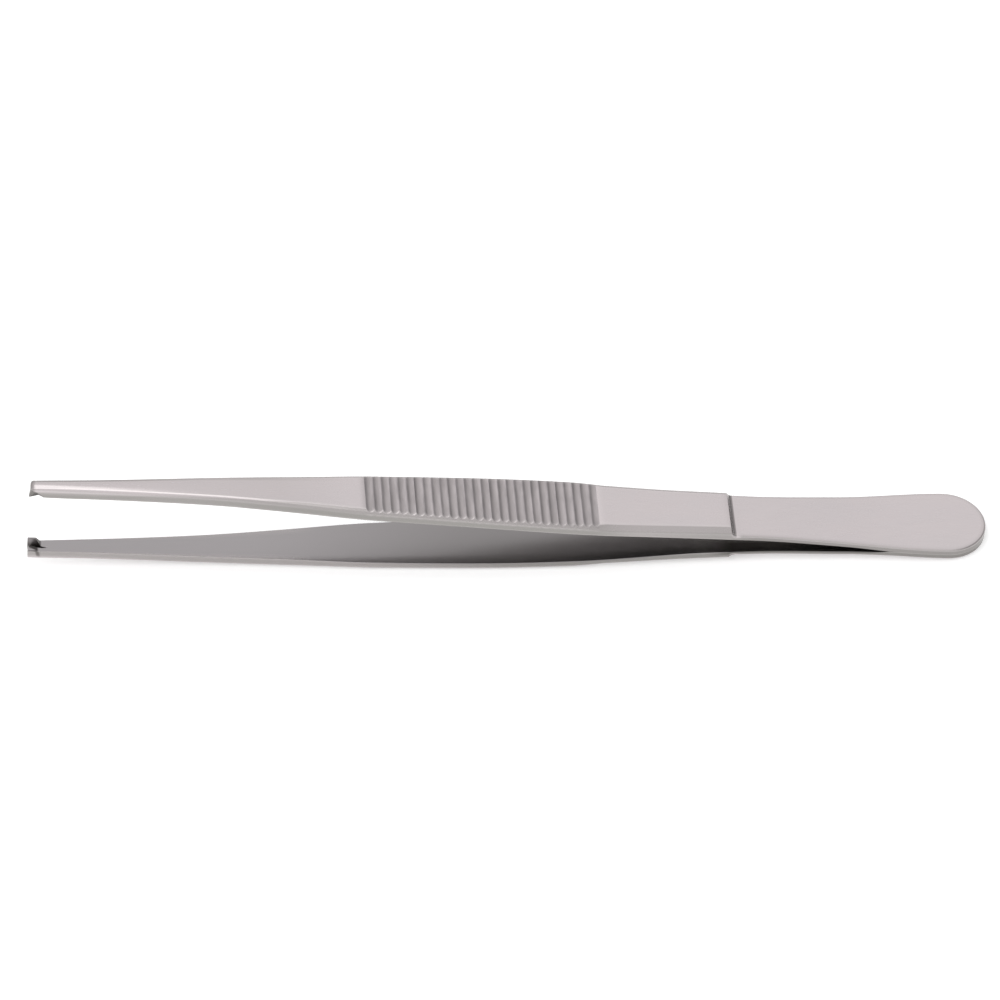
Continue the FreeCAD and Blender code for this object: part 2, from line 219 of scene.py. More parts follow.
# Shadowed places: nose and tooth, notch, prongs, side of the leaf, and slot.
NOSE_SHADE = 0.42
NOSE_RIM_SHADE = 0.567
NOSE_FADE = (1.0, 0.5)
TOOTH_SHADE = 0.52
NOTCH_SHADE = 0.87
NOTCH_COLUMNS = (MIDDLE_COLUMN - 4, MIDDLE_COLUMN - 2)
NOTCH_FADE = (NOTCH_LENGTH + 0.3, NOTCH_LENGTH - 0.7)
BACK_SHADE = 0.85
BACK_FADE = (-0.1, 0.1)
BACK_COLUMN = INNER_COLUMN + 3
RELIEF_SHADE = 0.7
RELIEF_MIDDLE = 1.55
RELIEF_REACH = 0.4
RELIEF_LEAN = 0.15
RELIEF_FADE = (1.0, 0.375)
RELIEF_COLUMNS = (BEVEL_COLUMN + 5, BEVEL_COLUMN + 10)
NEAR_CREST_SHADE = 0.15
FAR_CREST_SHADE = 0.42
CREST_FADE_LENGTH = 0.3
LEAF_SIDE_SHADE = 0.15
LEAF_SIDE_FADE = (LEAF_STATION, LEAF_STATION + 3.0)
SLOT_SHADE = 0.8
SLOT_FRONT_FADE = (102.0, 106.0)
SLOT_REAR_FADE = (130.0, 127.0)
SLOT_COLUMNS = (SIDE_COLUMN, SIDE_COLUMN + 2)

# Making of the meshes, in metres and degrees.
MERGE_REACH = 2e-8
LEAST_EDGE = 1e-8
SHARP_ANGLE = 32.0


def ramp(value, start, end):
    """Share of the way from start to end, level beyond both. The end may be the lower one."""
    return np.clip((value - start) / (end - start), 0.0, 1.0)


def smooth_values(points, stations):
    """Monotone cubic through (station, value) points, level beyond both ends.

    The slope at a point is the harmonic mean of the slopes beside it, or none at a peak.
    """
    places, values = np.array(points, float).T
    secant = np.diff(values) / np.diff(places)
    product = secant[:-1] * secant[1:]
    total = np.where(product > 0, secant[:-1] + secant[1:], 1.0)
    slope = np.where(product > 0, 2 * product / total, 0.0)
    slope = np.concatenate([secant[:1], slope, secant[-1:]])
    at = np.clip(stations, places[0], places[-1])
    left = np.clip(np.searchsorted(places, at, side="right") - 1, 0, len(places) - 2)
    right = left + 1
    span = places[right] - places[left]
    share = (at - places[left]) / span
    rest = 1 - share
    rise = values[left] * (1 + 2 * share) * rest ** 2
    rise = rise + values[right] * share ** 2 * (3 - 2 * share)
    lean = slope[left] * share * rest ** 2 - slope[right] * share ** 2 * rest
    return rise + span * lean


def inner_height(station):
    """Half the gap along the thick part, then a straight run down to the weld."""
    front = smooth_values(GAP, np.minimum(station, LEAF_STATION)) / 2
    rear = np.maximum(LAND_STATION - station, 0.0) * LEAF_SLOPE
    return np.where(station < LEAF_STATION, front, rear)


def outer_height(station):
    """Inner face plus thickness, carried on past the step."""
    return inner_height(station) + smooth_values(THICKNESS, station)


def leaf_height(station):
    """Leaf's outer face: straight, a parabola over the bend, then level."""
    bend = ramp(station, LAND_STATION + LEAF_BEND, LAND_STATION - LEAF_BEND)
    straight = np.maximum(LAND_STATION - LEAF_BEND - station, 0.0)
    base = BUTT_THICKNESS + (LEAF_THICKNESS - BUTT_THICKNESS) * bend
    return base + LEAF_SLOPE * (LEAF_BEND * bend ** 2 + straight)


def groove_drop(station):
    """How far the outer face drops over the grip.

    The grooves are circles whose lips are blended by a soft minimum. Each is a little off
    its place and depth.
    """
    index = np.clip(np.round((station - GROOVE_FIRST) / GROOVE_PITCH), 0, GROOVE_COUNT - 1)
    index = index.astype(int)
    aside, uneven = np.random.default_rng(GROOVE_SEED).uniform(-1.0, 1.0, (2, GROOVE_COUNT))
    off = station - GROOVE_FIRST - index * GROOVE_PITCH - GROOVE_WANDER * aside[index]
    off = np.clip(off, -GROOVE_PITCH / 2, GROOVE_PITCH / 2)
    deep = GROOVE_DEPTH * (1 + GROOVE_UNEVEN * uneven[index])
    arc = GROOVE_RADIUS - np.sqrt(GROOVE_RADIUS ** 2 - off ** 2) - deep
    return GROOVE_LIP * np.log(1 + np.exp(-arc / GROOVE_LIP))


def quarter(steps):
    """Angles of a quarter turn."""
    return np.linspace(0.0, math.pi / 2, steps + 1)


def rings(nose, nose_round):
    """Stations, outer heights, front insets and end angles of an arm's rings.

    The rings run round the nose's edge, along the front, over every groove, over the brow,
    down the hollow of the step, along the leaf and then, as radii, round the rear end.
    """
    turn = quarter(TURN_STEPS)
    hollow = quarter(HOLLOW_RINGS)
    brow = LEAF_STATION - STEP_RADIUS - BROW_SETBACK
    foot = leaf_height(np.array(LEAF_STATION))
    edge = nose + nose_round * (1 - np.sin(turn[::-1]))
    jaw = np.linspace(edge[-1], JAW_END, JAW_RINGS)[1:]
    shank = np.linspace(JAW_END, GRIP_START, FRONT_RINGS)[1:]
    front = np.concatenate([edge, jaw, shank])
    grip = np.linspace(GRIP_START, GRIP_END, GROOVE_COUNT * RINGS_PER_GROOVE + 1)[1:]
    heel = np.linspace(GRIP_END, brow - BROW_RADIUS, HEEL_RINGS)[1:]
    over_brow = brow - BROW_RADIUS + BROW_RADIUS * np.sin(turn[1:])
    down_step = LEAF_STATION - STEP_RADIUS * np.cos(hollow)
    leaf = np.linspace(LEAF_STATION, BUTT_CENTRE, LEAF_RINGS)[1:]
    leaf = np.concatenate([leaf, np.full(END_RINGS, BUTT_CENTRE)])
    runs = (
        (front, outer_height(front)),
        (grip, outer_height(grip) - groove_drop(grip)),
        (heel, outer_height(heel)),
        (over_brow, outer_height(over_brow) - BROW_RADIUS * (1 - np.cos(turn[1:]))),
        (down_step, foot + STEP_RADIUS * (1 - np.sin(hollow))),
        (leaf, leaf_height(leaf)),
    )
    station, top = [np.concatenate(parts) for parts in zip(*runs)]
    inset = np.zeros(len(station))
    inset[:len(edge)] = nose_round * (1 - np.cos(turn[::-1]))
    angle = np.zeros(len(station))
    angle[-END_RINGS:] = quarter(END_RINGS)[1:]
    return station, top, inset, angle


def side_reach(station, height, inset):
    """Half-width at a height: a drafted side below, and above it the bowed bevel.

    The bevel is the straight line from the side's top to the outer face, pushed outwards by
    a parabola. It is solved for the height.
    """
    half = smooth_values(PLAN, station) / 2
    inner = inner_height(station)
    draft = smooth_values(DRAFT, station)
    tall = smooth_values(BEVEL_HEIGHT, station)
    waist = outer_height(station) - tall
    width = smooth_values(BEVEL_WIDTH, station)
    bow = 4 * BEVEL_BULGE / np.hypot(width, tall)
    up = np.clip(height - waist, 0.0, tall)
    steep = tall + bow * width
    along = (steep - np.sqrt(steep ** 2 - 4 * bow * width * up)) / (2 * bow * width)
    bevel = -width * along + tall * bow * along * (1 - along)
    below = ramp(height, waist, inner)
    return half - draft + draft * below + bevel - inset


def outside_half(station, top, inset):
    """Outer half of each ring: across the outer face, then down the bevel and the side.

    The outer face is crowned by a parabola and both edges are quarter circles. Returns
    across and height, each ring by point.
    """
    inner = inner_height(station) + inset
    tall = smooth_values(BEVEL_HEIGHT, station)
    top = top - inset
    on_leaf = ramp(top, outer_height(station), outer_height(station) - tall)
    top_round = THICK_ROUND + (LEAF_ROUND - THICK_ROUND) * on_leaf
    inner_round = INNER_ROUND * (1 - ramp(station, *WELD_FADE)) + LEAST_ROUND

    share = np.linspace(0.0, 1.0, FACE_STEPS + 1)[:-1]
    crown = smooth_values(CROWN, station)
    crowned = top - crown * share ** 2
    turn = quarter(TURN_STEPS)[::-1]
    top_heights = top - crown - top_round * (1 - np.sin(turn))
    top_across = side_reach(station, top_heights, inset) - top_round * (1 - np.cos(turn))

    end = top - crown - top_round
    waist = np.minimum(outer_height(station) - tall, inner + LEAF_WAIST * (end - inner))
    run = np.linspace(0.0, 1.0, BEVEL_STEPS + 1)[1:]
    bevel_heights = end + (waist - end) * run ** BEVEL_CROWDING
    bevel_across = side_reach(station, bevel_heights, inset)

    fall = np.linspace(0.0, 1.0, SIDE_STEPS + 1)[1:]
    side_heights = waist + (inner + inner_round - waist) * fall
    side_across = side_reach(station, side_heights, inset)
    turn = quarter(TURN_STEPS)[1:]
    low_heights = inner + inner_round * (1 - np.sin(turn))
    low_across = side_reach(station, low_heights, inset) - inner_round * (1 - np.cos(turn))

    face = top_across[:, :1] * share
    across = np.hstack([face, top_across, bevel_across, side_across, low_across])
    height = np.hstack([crowned, top_heights, bevel_heights, side_heights, low_heights])
    return across, height


def inside_half(station, corner, inset, prong):
    """Inner half of each ring, from the corner to the middle, level or forked.

    Straight lines run between rails across the ring: the middle and the root of the notch,
    the top of its wall, the crest and the root of the prong, and the corner.
    """
    inner = inner_height(station) + inset
    crest_end, root_end = prong or FAR_PRONG
    forked = float(bool(prong))
    along = ramp(station, LOWER_NOSE, LOWER_NOSE + NOTCH_LENGTH)
    rise = forked * PRONG_HEIGHT * ramp(station, root_end, crest_end)
    depth = forked * NOTCH_DEPTH * (1 - along)
    root = NOTCH_ROOT_HALF + (NOTCH_END_HALF - NOTCH_ROOT_HALF) * along
    mouth = NOTCH_MOUTH_HALF + (NOTCH_ROOT_HALF - NOTCH_MOUTH_HALF) * along
    wall = root + (mouth - root) * (depth + rise) / (depth + PRONG_HEIGHT) + WALL_SPREAD * along
    crest = PRONG_ROOT_HALF + (PRONG_CREST_HALF - PRONG_ROOT_HALF) * rise / PRONG_HEIGHT
    crest = crest - RAIL_SPREAD * ramp(station, root_end, root_end + RAIL_SPREAD_LENGTH)
    rails = (
        (np.zeros_like(station), inner + depth),
        (root, inner + depth),
        (wall, inner - rise),
        (crest, inner - rise),
        (np.full_like(station, PRONG_ROOT_HALF), inner),
        (corner, inner),
    )
    across, height = [rails[0][0]], [rails[0][1]]
    for (from_across, from_height), (to_across, to_height), steps in zip(
            rails, rails[1:], RAIL_STEPS):
        share = np.linspace(0.0, 1.0, steps + 1)[1:]
        across.append(from_across + (to_across - from_across) * share)
        height.append(from_height + (to_height - from_height) * share)
    return np.hstack(across)[:, ::-1], np.hstack(height)[:, ::-1]


def grid_faces(rows, columns, first=0):
    """Quads of a grid of points numbered row by row."""
    corner = first + np.arange(rows - 1)[:, None] * columns + np.arange(columns - 1)
    quads = np.stack([corner, corner + 1, corner + columns + 1, corner + columns], axis=-1)
    return quads.reshape(-1, 4)


def ground_nose(along, heights, station):
    """Lean the upper nose back below the bevel by a power curve, less at each ring behind it."""
    inner = inner_height(np.zeros(1))[0]
    waist = outer_height(np.zeros(1))[0] - TIP_BEVEL_HEIGHT
    lean = SHOULDER_GRIND * ramp(heights, waist, inner) ** SHOULDER_POWER
    return along + lean * ramp(station, UPPER_NOSE + GRIND_LENGTH, UPPER_NOSE)


def notch_skew(points):
    """How far the notch leans towards the near side: a straight run along the jaw that fades
    out at its end, times a parabola across it."""
    station, across = points[..., 0], points[..., 1]
    first, last = NOTCH_SKEW
    lean = first + (last - first) * ramp(station, 0.0, NOTCH_SKEW_END)
    fade = ramp(station, JAW_END, NOTCH_LENGTH)
    return lean * fade * np.clip(1 - (across / SKEW_HALF) ** 2, 0.0, 1.0)


def nose_face(ring, station, prong):
    """Front face of an arm: columns of points straight down from the outer to the inner face
    of its first ring, and level with that ring's side."""
    side = ring[FACE_STEPS:INNER_COLUMN]
    drop = ((side[0, 2] - side[:, 2]) / (side[0, 2] - side[-1, 2]))[None, :, None]
    upper = ring[:FACE_STEPS + 1, None]
    lower = ring[CORNER_COLUMN:][::-1, None]
    face = upper * (1 - drop) + lower * drop
    if not prong:
        start = np.full(face.shape[:2], station)
        face[:, :, 0] = ground_nose(start, face[:, :, 2], station)
    face[-1] = side
    return face


def half_surface(nose, nose_round, prong, hand):
    """Half of an arm, on the far side where hand is 1 and on the near side where it is -1.

    A sheet runs from the middle of the outer face over the bevel and the side to the middle
    of the inner face. Round the rear end, its rings turn about the butt's centre.
    """
    station, top, inset, angle = [row[:, None] for row in rings(nose, nose_round)]
    across, height = outside_half(station, top, inset)
    inside_across, inside_height = inside_half(station, across[:, -1:], inset, prong)
    across = np.hstack([across, inside_across[:, 1:]])
    height = np.hstack([height, inside_height[:, 1:]])
    along = station + across * np.sin(angle)
    if not prong:
        along = ground_nose(along, height, station)
    sheet = np.stack([along, across * np.cos(angle), height], axis=-1)
    if prong:
        sheet[:, INNER_COLUMN:, 1] -= hand * notch_skew(sheet[:, INNER_COLUMN:])
    face = nose_face(sheet[0], station[0, 0], prong)

    # The front face takes the side's colour and, on the upper arm, the nose's painted shade.
    face_values = {"side_ground_and_shade_zone": 1.0, "recess_shade_zone": 0.0 if prong else NOSE_SHADE}
    face_count = face.shape[0] * face.shape[1]
    values = {}
    for name, mask in zone_masks(station, top, prong, hand).items():
        flat = np.broadcast_to(mask, across.shape).ravel()
        values[name] = np.concatenate([flat, np.full(face_count, face_values.get(name, 0.0))])
    points = np.concatenate([sheet.reshape(-1, 3), face.reshape(-1, 3)])
    points = points * np.array([1.0, hand, 1.0])
    quads = np.concatenate([
        grid_faces(*across.shape),
        grid_faces(*face.shape[:2], across.size)[:, ::-1],
    ])
    return points, quads[:, ::int(hand)], values


def edge_mask(station, column, prong):
    """Worn edges: the columns that turn between the outer face and the bevel, and those that
    turn between the side and the inner face."""
    outer = (column >= FACE_STEPS) & (column <= BEVEL_COLUMN)
    inner = (column >= CORNER_COLUMN - TURN_STEPS) & (column <= CORNER_COLUMN)
    edge = outer + inner * (LOWER_EDGE_WEAR if prong else 1.0)
    return edge * np.where(station > LEAF_STATION, LEAF_EDGE_WEAR, 1.0)


def below_mask(station, column):
    """The side below the bevel: a ramp over its first columns, earlier on the leaf."""
    thick, leaf = ramp(column, *SIDE_COLUMNS), ramp(column, *LEAF_SIDE_COLUMNS)
    return np.where(station > LEAF_STATION, leaf, thick)


def side_ground_and_shade_mask(station, column, prong, hand):
    """Ground bevel and side, whose colour is partly painted shade: a ramp over the columns of
    each, times a curve of painted shade along the arm.
    """
    # Painted highlight: towards the tip, the near bevel keeps the outer face's lighter colour.
    kept_highlight = ramp(station, *HIGHLIGHT_FADE) * (hand < 0)
    start = BEVEL_COLUMN - 1 + HIGHLIGHT_SHIFT * kept_highlight
    bevel = ramp(column, start, start + BEVEL_FADE_STEPS + HIGHLIGHT_SPREAD * kept_highlight)
    # Painted shade on the far strip of the outer face near the jaws.
    if hand > 0:
        reach = ramp(station, *FAR_FADE) * smooth_values(FAR_SHADE, station)
        bevel = np.maximum(bevel, reach * ramp(column, *FAR_COLUMNS))
    bevel = np.where(station > LEAF_STATION, ramp(column, *LEAF_BEVEL_COLUMNS), bevel)
    side = BEVEL_SHADE * bevel + (1 - BEVEL_SHADE) * below_mask(station, column)
    # Painted shade along the arm, lighter or darker from place to place.
    side = side * smooth_values(LOWER_SIDE_SHADE if prong else UPPER_SIDE_SHADE, station)
    # Painted shade on the outer face towards the tip.
    side = np.maximum(side, TIP_SHADE * ramp(station, *TIP_FADE))
    return side * (column <= INNER_COLUMN)


def inner_mask(station, column, prong):
    """Blasted inner face, with a few columns of the side beside it."""
    spill = UPPER_INNER_SPILL
    if prong:
        spill = spill + LOWER_INNER_SPILL * ramp(station, *INNER_SPILL_FADE)
    start = INNER_COLUMN - spill
    return ramp(column, start, start + INNER_FADE_STEPS)


def deep_shade_mask(station):
    """Painted shade on the inner face far in between the arms: a smooth step up, then a ramp
    down at the leaf.
    """
    rise = ramp(station, *DEEP_FRONT_FADE)
    return rise * rise * (3 - 2 * rise) * ramp(station, *DEEP_REAR_FADE)


def fork_shadow(station, column, prong, hand):
    """Shadow in the fork: the largest of the notch, the back of the prong, the relief ground
    into the near prong's side, and the crest."""
    crest_end, root_end = prong
    notch = NOTCH_SHADE * ramp(column, *NOTCH_COLUMNS) * ramp(station, *NOTCH_FADE)
    within = np.minimum(station - crest_end, root_end - station)
    back = BACK_SHADE * ramp(within, *BACK_FADE) * (column >= BACK_COLUMN)
    down = (column - INNER_COLUMN) / SIDE_STEPS + 1
    off = np.abs(station + RELIEF_LEAN * down - RELIEF_MIDDLE) / RELIEF_REACH
    relief = RELIEF_SHADE * ramp(off, *RELIEF_FADE) * ramp(column, *RELIEF_COLUMNS)
    relief = relief * (column <= INNER_COLUMN) * (hand < 0)
    crest = ramp(station, root_end, root_end - CREST_FADE_LENGTH) * (column > INNER_COLUMN)
    crest = crest * (FAR_CREST_SHADE if hand > 0 else NEAR_CREST_SHADE)
    return np.maximum.reduce([notch, back, relief, crest])


def slot_shadow(station, column):
    """Shadow between the leaves, on the lowest columns of the lower leaf's side."""
    along = ramp(station, *SLOT_FRONT_FADE) * ramp(station, *SLOT_REAR_FADE)
    return SLOT_SHADE * along * ramp(column, *SLOT_COLUMNS) * (column <= INNER_COLUMN)


def recess_mask(station, column, prong, hand):
    """All shadowed places of one half: jaw, side of the leaf and slot, the largest of them."""
    along = ramp(station, *LEAF_SIDE_FADE) * (column <= INNER_COLUMN)
    leaf_side = LEAF_SIDE_SHADE * along * below_mask(station, column)
    if not prong:
        return np.maximum(NOSE_RIM_SHADE * ramp(station, *NOSE_FADE), leaf_side)
    jaw = fork_shadow(station, column, prong, hand)
    return np.maximum.reduce([jaw, leaf_side, slot_shadow(station, column)])


def zone_masks(station, top, prong, hand):
    """Masks over the sheet, ring by column, that the steel's colours follow. Those of the
    recesses, far in between the arms, the hollow and the grooves are painted shade, the one on
    the leaves' inner faces painted light, and the side's partly painted shade.
    """
    column = np.arange(MIDDLE_COLUMN + 1)[None, :]
    gripped = (station > GRIP_START) & (station < GRIP_END)
    outer = ramp(column, *GRIP_COLUMNS)
    # Painted shade in the grooves, darker where they are deeper.
    drop = np.where(gripped, (outer_height(station) - top) / GROOVE_DEPTH, 0.0)
    # Painted shade in the hollow of the step.
    hollow = ramp(station, *HOLLOW_FRONT_FADE) * ramp(station, *HOLLOW_REAR_FADE)
    return {
        "recess_shade_zone": recess_mask(station, column, prong, hand),
        "deep_shade_zone": deep_shade_mask(station),
        "leaf_light_zone": ramp(station, *LEAF_LIGHT_FADE) ** 2,
        "hollow_shade_zone": hollow * outer,
        "edge_zone": edge_mask(station, column, prong),
        "side_ground_and_shade_zone": side_ground_and_shade_mask(station, column, prong, hand),
        "inner_zone": inner_mask(station, column, prong),
        "grip_zone": gripped * outer,
        "groove_shade_zone": drop * outer,
    }


def outward(points, quads):
    """The quads turned to face outwards: the volume that they close is then positive."""
    first, second, third, fourth = [points[quads[:, corner]] for corner in range(4)]
    volume = np.einsum("ij,ij->i", first, np.cross(second, third)).sum()
    volume += np.einsum("ij,ij->i", first, np.cross(third, fourth)).sum()
    return quads if volume > 0 else quads[:, ::-1]


def whole_arm(nose, nose_round, near_prong, far_prong):
    """One arm from its near and far halves: points, quads and masks."""
    near, near_quads, near_values = half_surface(nose, nose_round, near_prong, -1.0)
    far, far_quads, far_values = half_surface(nose, nose_round, far_prong, 1.0)
    points = np.concatenate([near, far])
    quads = np.concatenate([near_quads, far_quads + len(near)])
    values = {name: np.concatenate([near_values[name], far_values[name]])
              for name in near_values}
    return points, quads, values


def upper_arm():
    """The upper arm, which sinks a little over the grip."""
    points, quads, values = whole_arm(UPPER_NOSE, UPPER_NOSE_ROUND, None, None)
    points[:, 2] -= smooth_values(UPPER_DROP, points[:, 0])
    return points, outward(points, quads), values


def lower_arm():
    """The lower arm, upside down.

    Its tip spreads by a parabola, it bends sideways behind the grip, and the inner face of
    its leaf is cut back to widen the slot.
    """
    points, quads, values = whole_arm(LOWER_NOSE, LOWER_NOSE_ROUND, NEAR_PRONG, FAR_PRONG)
    station = points[:, 0]
    points[:, 2] += LOWER_SPREAD * ramp(station, *LOWER_SPREAD_FADE) ** 2
    points[:, 1] -= smooth_values(LOWER_ASIDE, station)
    low = ramp(points[:, 2] - inner_height(station), SLOT_DEPTH, 0.0)
    along = ramp(station, *SLOT_WIDER_FADE) * ramp(station, *SLOT_CLOSE_FADE)
    points[:, 2] += SLOT_WIDER * low * along
    points = points * np.array([1.0, 1.0, -1.0])
    return points, outward(points, quads), values


def tooth_surface():
    """The tooth: rounded squares that shrink in a straight line from the jaw to the point.

    A square is a cosine and a sine, each raised to one power. Its sizes are the front, the
    rear and the half-width. Returns points, quads and the two rings that close it.
    """
    turn = np.linspace(0.0, 2 * math.pi, TOOTH_SIDES, endpoint=False)
    x = np.sign(np.cos(turn)) * np.abs(np.cos(turn)) ** TOOTH_SQUARENESS
    y = np.sign(np.sin(turn)) * np.abs(np.sin(turn)) ** TOOTH_SQUARENESS
    level = np.array(TOOTH_LEVELS)[:, None]
    shrink = np.array(TOOTH_SHRINK)[:, None]
    inner = inner_height(np.zeros(1))[0]
    root = outer_height(np.zeros(1))[0] - TIP_BEVEL_HEIGHT
    height = root + (inner - TOOTH_HEIGHT - root) * level
    front, rear, half = [top + (point - top) * level
                         for top, point in zip(TOOTH_TOP, TOOTH_POINT)]
    along = (front + rear) / 2 + (rear - front) / 2 * shrink * x
    points = np.stack([along, half * shrink * y, height + 0 * x], axis=-1).reshape(-1, 3)
    ring = np.arange(TOOTH_SIDES)
    after = (ring + 1) % TOOTH_SIDES
    band = np.stack([ring, after, TOOTH_SIDES + after, TOOTH_SIDES + ring], axis=-1)
    lift = np.arange(len(level) - 1)[:, None, None] * TOOTH_SIDES
    last = len(points) - TOOTH_SIDES
    return points, (lift + band).reshape(-1, 4), (ring[::-1], last + ring)


def make_piece(name, points, quads, values, closing=()):
    """Put points, faces and masks into a mesh, merge what meets, and shade it smooth."""
    mesh = bpy.data.meshes.new(name)
    faces = quads.tolist() + [ring.tolist() for ring in closing]
    mesh.from_pydata((points * MM).tolist(), [], faces)
    for label, value in values.items():
        layer = mesh.attributes.new(label, "FLOAT", "POINT")
        layer.data.foreach_set("value", value.astype(np.float32))
    work = bmesh.new()
    work.from_mesh(mesh)
    bmesh.ops.remove_doubles(work, verts=work.verts, dist=MERGE_REACH)
    bmesh.ops.dissolve_degenerate(work, edges=work.edges, dist=LEAST_EDGE)
    work.to_mesh(mesh)
    work.free()
    mesh.shade_smooth()
    mesh.set_sharp_from_angle(angle=math.radians(SHARP_ANGLE))
    piece = bpy.data.objects.new(name, mesh)
    bpy.context.scene.collection.objects.link(piece)
    return piece


def laid_down(points, shift):
    """Tilt points about the y axis, as the pair lies on the floor, then move them."""
    tilt = math.asin(TILT_SINE)
    x, y, z = np.moveaxis(np.asarray(points, float), -1, 0)
    cosine, sine = math.cos(tilt), math.sin(tilt)
    return np.stack([x * cosine + z * sine, y, -x * sine + z * cosine], axis=-1) + shift


def build_arms():
    """Both arms on the floor, centred, and the shift that laid them there."""
    upper, upper_quads, upper_values = upper_arm()
    lower, lower_quads, lower_values = lower_arm()
    tooth, tooth_quads, tooth_closing = tooth_surface()
    first = len(upper)
    upper = np.concatenate([upper, tooth])
    upper_quads = np.concatenate([upper_quads, tooth_quads + first])
    closing = [first + ring for ring in tooth_closing]
    # The tooth takes the side's colour and painted shade.
    tooth_values = {"side_ground_and_shade_zone": 1.0, "recess_shade_zone": TOOTH_SHADE}
    for name, mask in upper_values.items():
        on_tooth = np.full(len(tooth), tooth_values.get(name, 0.0))
        upper_values[name] = np.concatenate([mask, on_tooth])

    lying = laid_down(np.concatenate([upper, lower]), np.zeros(3))
    least, most = lying.min(axis=0), lying.max(axis=0)
    shift = np.array([-(least[0] + most[0]) / 2, 0.0, -least[2]])
    upper_piece = make_piece("upper_arm_surface", laid_down(upper, shift), upper_quads,
                             upper_values, closing)
    lower_piece = make_piece("lower_arm_surface", laid_down(lower, shift), lower_quads,
                             lower_values)
    return upper_piece, lower_piece, shift


# Colours, grain and gloss of the steel. A noise is its stretch along each axis, its detail
# and its roughness. A range is the part of a noise that is used.
OUTER_STEEL = ((0.590, 0.535, 0.540, 1.0), (0.555, 0.515, 0.525, 1.0))
# Ground side, darker also as painted shade.
SIDE_GROUND_AND_SHADE_STEEL = (0.285, 0.273, 0.262, 1.0)
INNER_STEEL = (0.334, 0.315, 0.321, 1.0)
# Painted shade on the inner face far in between the arms.
DEEP_SHADE_STEEL = (0.238, 0.226, 0.226, 1.0)
# Painted light on the inner faces of the leaves.
LEAF_INNER_LIGHT_STEEL = (0.70, 0.68, 0.67, 1.0)
GRIP_STEEL = ((0.31, 0.285, 0.29, 1.0), (0.43, 0.395, 0.403, 1.0))
# Painted shade in the grooves.
GROOVE_SHADE_STEEL = (0.335, 0.308, 0.308, 1.0)
# Painted shade in the hollow of the step.
HOLLOW_SHADE_STEEL = (0.29, 0.265, 0.265, 1.0)
# Painted shade for the nose, tooth, fork, leaf's side and slot.
RECESS_SHADE_STEEL = (0.06, 0.055, 0.05, 1.0)
WORN_STEEL = (0.64, 0.61, 0.60, 1.0)
DARK_GRAIN = (0.38, 0.36, 0.36, 1.0)
GROOVE_SHADE_MIX = 0.6
WORN_MIX = 0.3
GRAIN_MIX = 0.05
GRAIN_LOST_INSIDE = 0.9
GRAIN_RANGE = (0.3, 0.7)
STREAK_RANGE = (0.35, 0.65)
PATCH_RANGE = (0.3, 0.7)
LEAST_PATCH = 0.35
HAIRLINES = ((60.0, 4200.0, 4200.0), 3.0, 0.6)
MOTTLE = ((70.0, 220.0, 220.0), 2.0, 0.5)
STREAKS = ((1500.0, 260.0, 400.0), 2.0, 0.6)
WORN_PATCHES = ((300.0, 300.0, 300.0), 3.0, 0.6)
ROUGHNESS = 0.22
GRAIN_ROUGHNESS = 0.06
INNER_ROUGHNESS = 0.06
GRIP_ROUGHNESS = 0.06
WORN_SMOOTHNESS = 0.06
BUMP_STRENGTH = 0.02
BUMP_DISTANCE = 0.00002


def node_group(name, inputs, outputs):
    """Empty shader group with named number sockets."""
    group = bpy.data.node_groups.new(name, "ShaderNodeTree")
    for label in inputs:
        group.interface.new_socket(label, in_out="INPUT", socket_type="NodeSocketFloat")
    for label in outputs:
        group.interface.new_socket(label, in_out="OUTPUT", socket_type="NodeSocketFloat")
    return group, group.nodes.new("NodeGroupInput"), group.nodes.new("NodeGroupOutput")


def add(nodes, kind, **settings):
    """A new node with its settings."""
    node = nodes.new(kind)
    for key, value in settings.items():
        setattr(node, key, value)
    return node


def feed(tree, socket, value):
    """Give an input a socket's output, or a plain number or colour."""
    if isinstance(value, bpy.types.NodeSocket):
        tree.links.new(value, socket)
    else:
        socket.default_value = value


def maths(tree, operation, first, second):
    """Result of a Math node on two sockets or numbers."""
    node = add(tree.nodes, "ShaderNodeMath", operation=operation)
    feed(tree, node.inputs[0], first)
    feed(tree, node.inputs[1], second)
    return node.outputs[0]


def mixed(tree, factor, first, second):
    """Colour mix of two sockets or plain colours."""
    node = add(tree.nodes, "ShaderNodeMix", data_type="RGBA")
    feed(tree, node.inputs["Factor"], factor)
    feed(tree, node.inputs["A"], first)
    feed(tree, node.inputs["B"], second)
    return node.outputs["Result"]


def noise(tree, stretch, detail, roughness):
    """Noise over object coordinates, stretched by a scale for each axis."""
    place = add(tree.nodes, "ShaderNodeTexCoord")
    mapping = add(tree.nodes, "ShaderNodeMapping")
    mapping.inputs["Scale"].default_value = stretch
    texture = add(tree.nodes, "ShaderNodeTexNoise")
    texture.inputs["Scale"].default_value = 1.0
    texture.inputs["Detail"].default_value = detail
    texture.inputs["Roughness"].default_value = roughness
    tree.links.new(place.outputs["Object"], mapping.inputs["Vector"])
    tree.links.new(mapping.outputs["Vector"], texture.inputs["Vector"])
    return texture.outputs["Fac"]


def spread(tree, value, start, end, to_start, to_end):
    """Map a value from one range into another, clamped."""
    node = add(tree.nodes, "ShaderNodeMapRange")
    tree.links.new(value, node.inputs["Value"])
    node.inputs["From Min"].default_value = start
    node.inputs["From Max"].default_value = end
    node.inputs["To Min"].default_value = to_start
    node.inputs["To Max"].default_value = to_end
    return node.outputs["Result"]


def zone(tree, name):
    """One of the piece's own masks."""
    return add(tree.nodes, "ShaderNodeAttribute", attribute_name=name).outputs["Fac"]


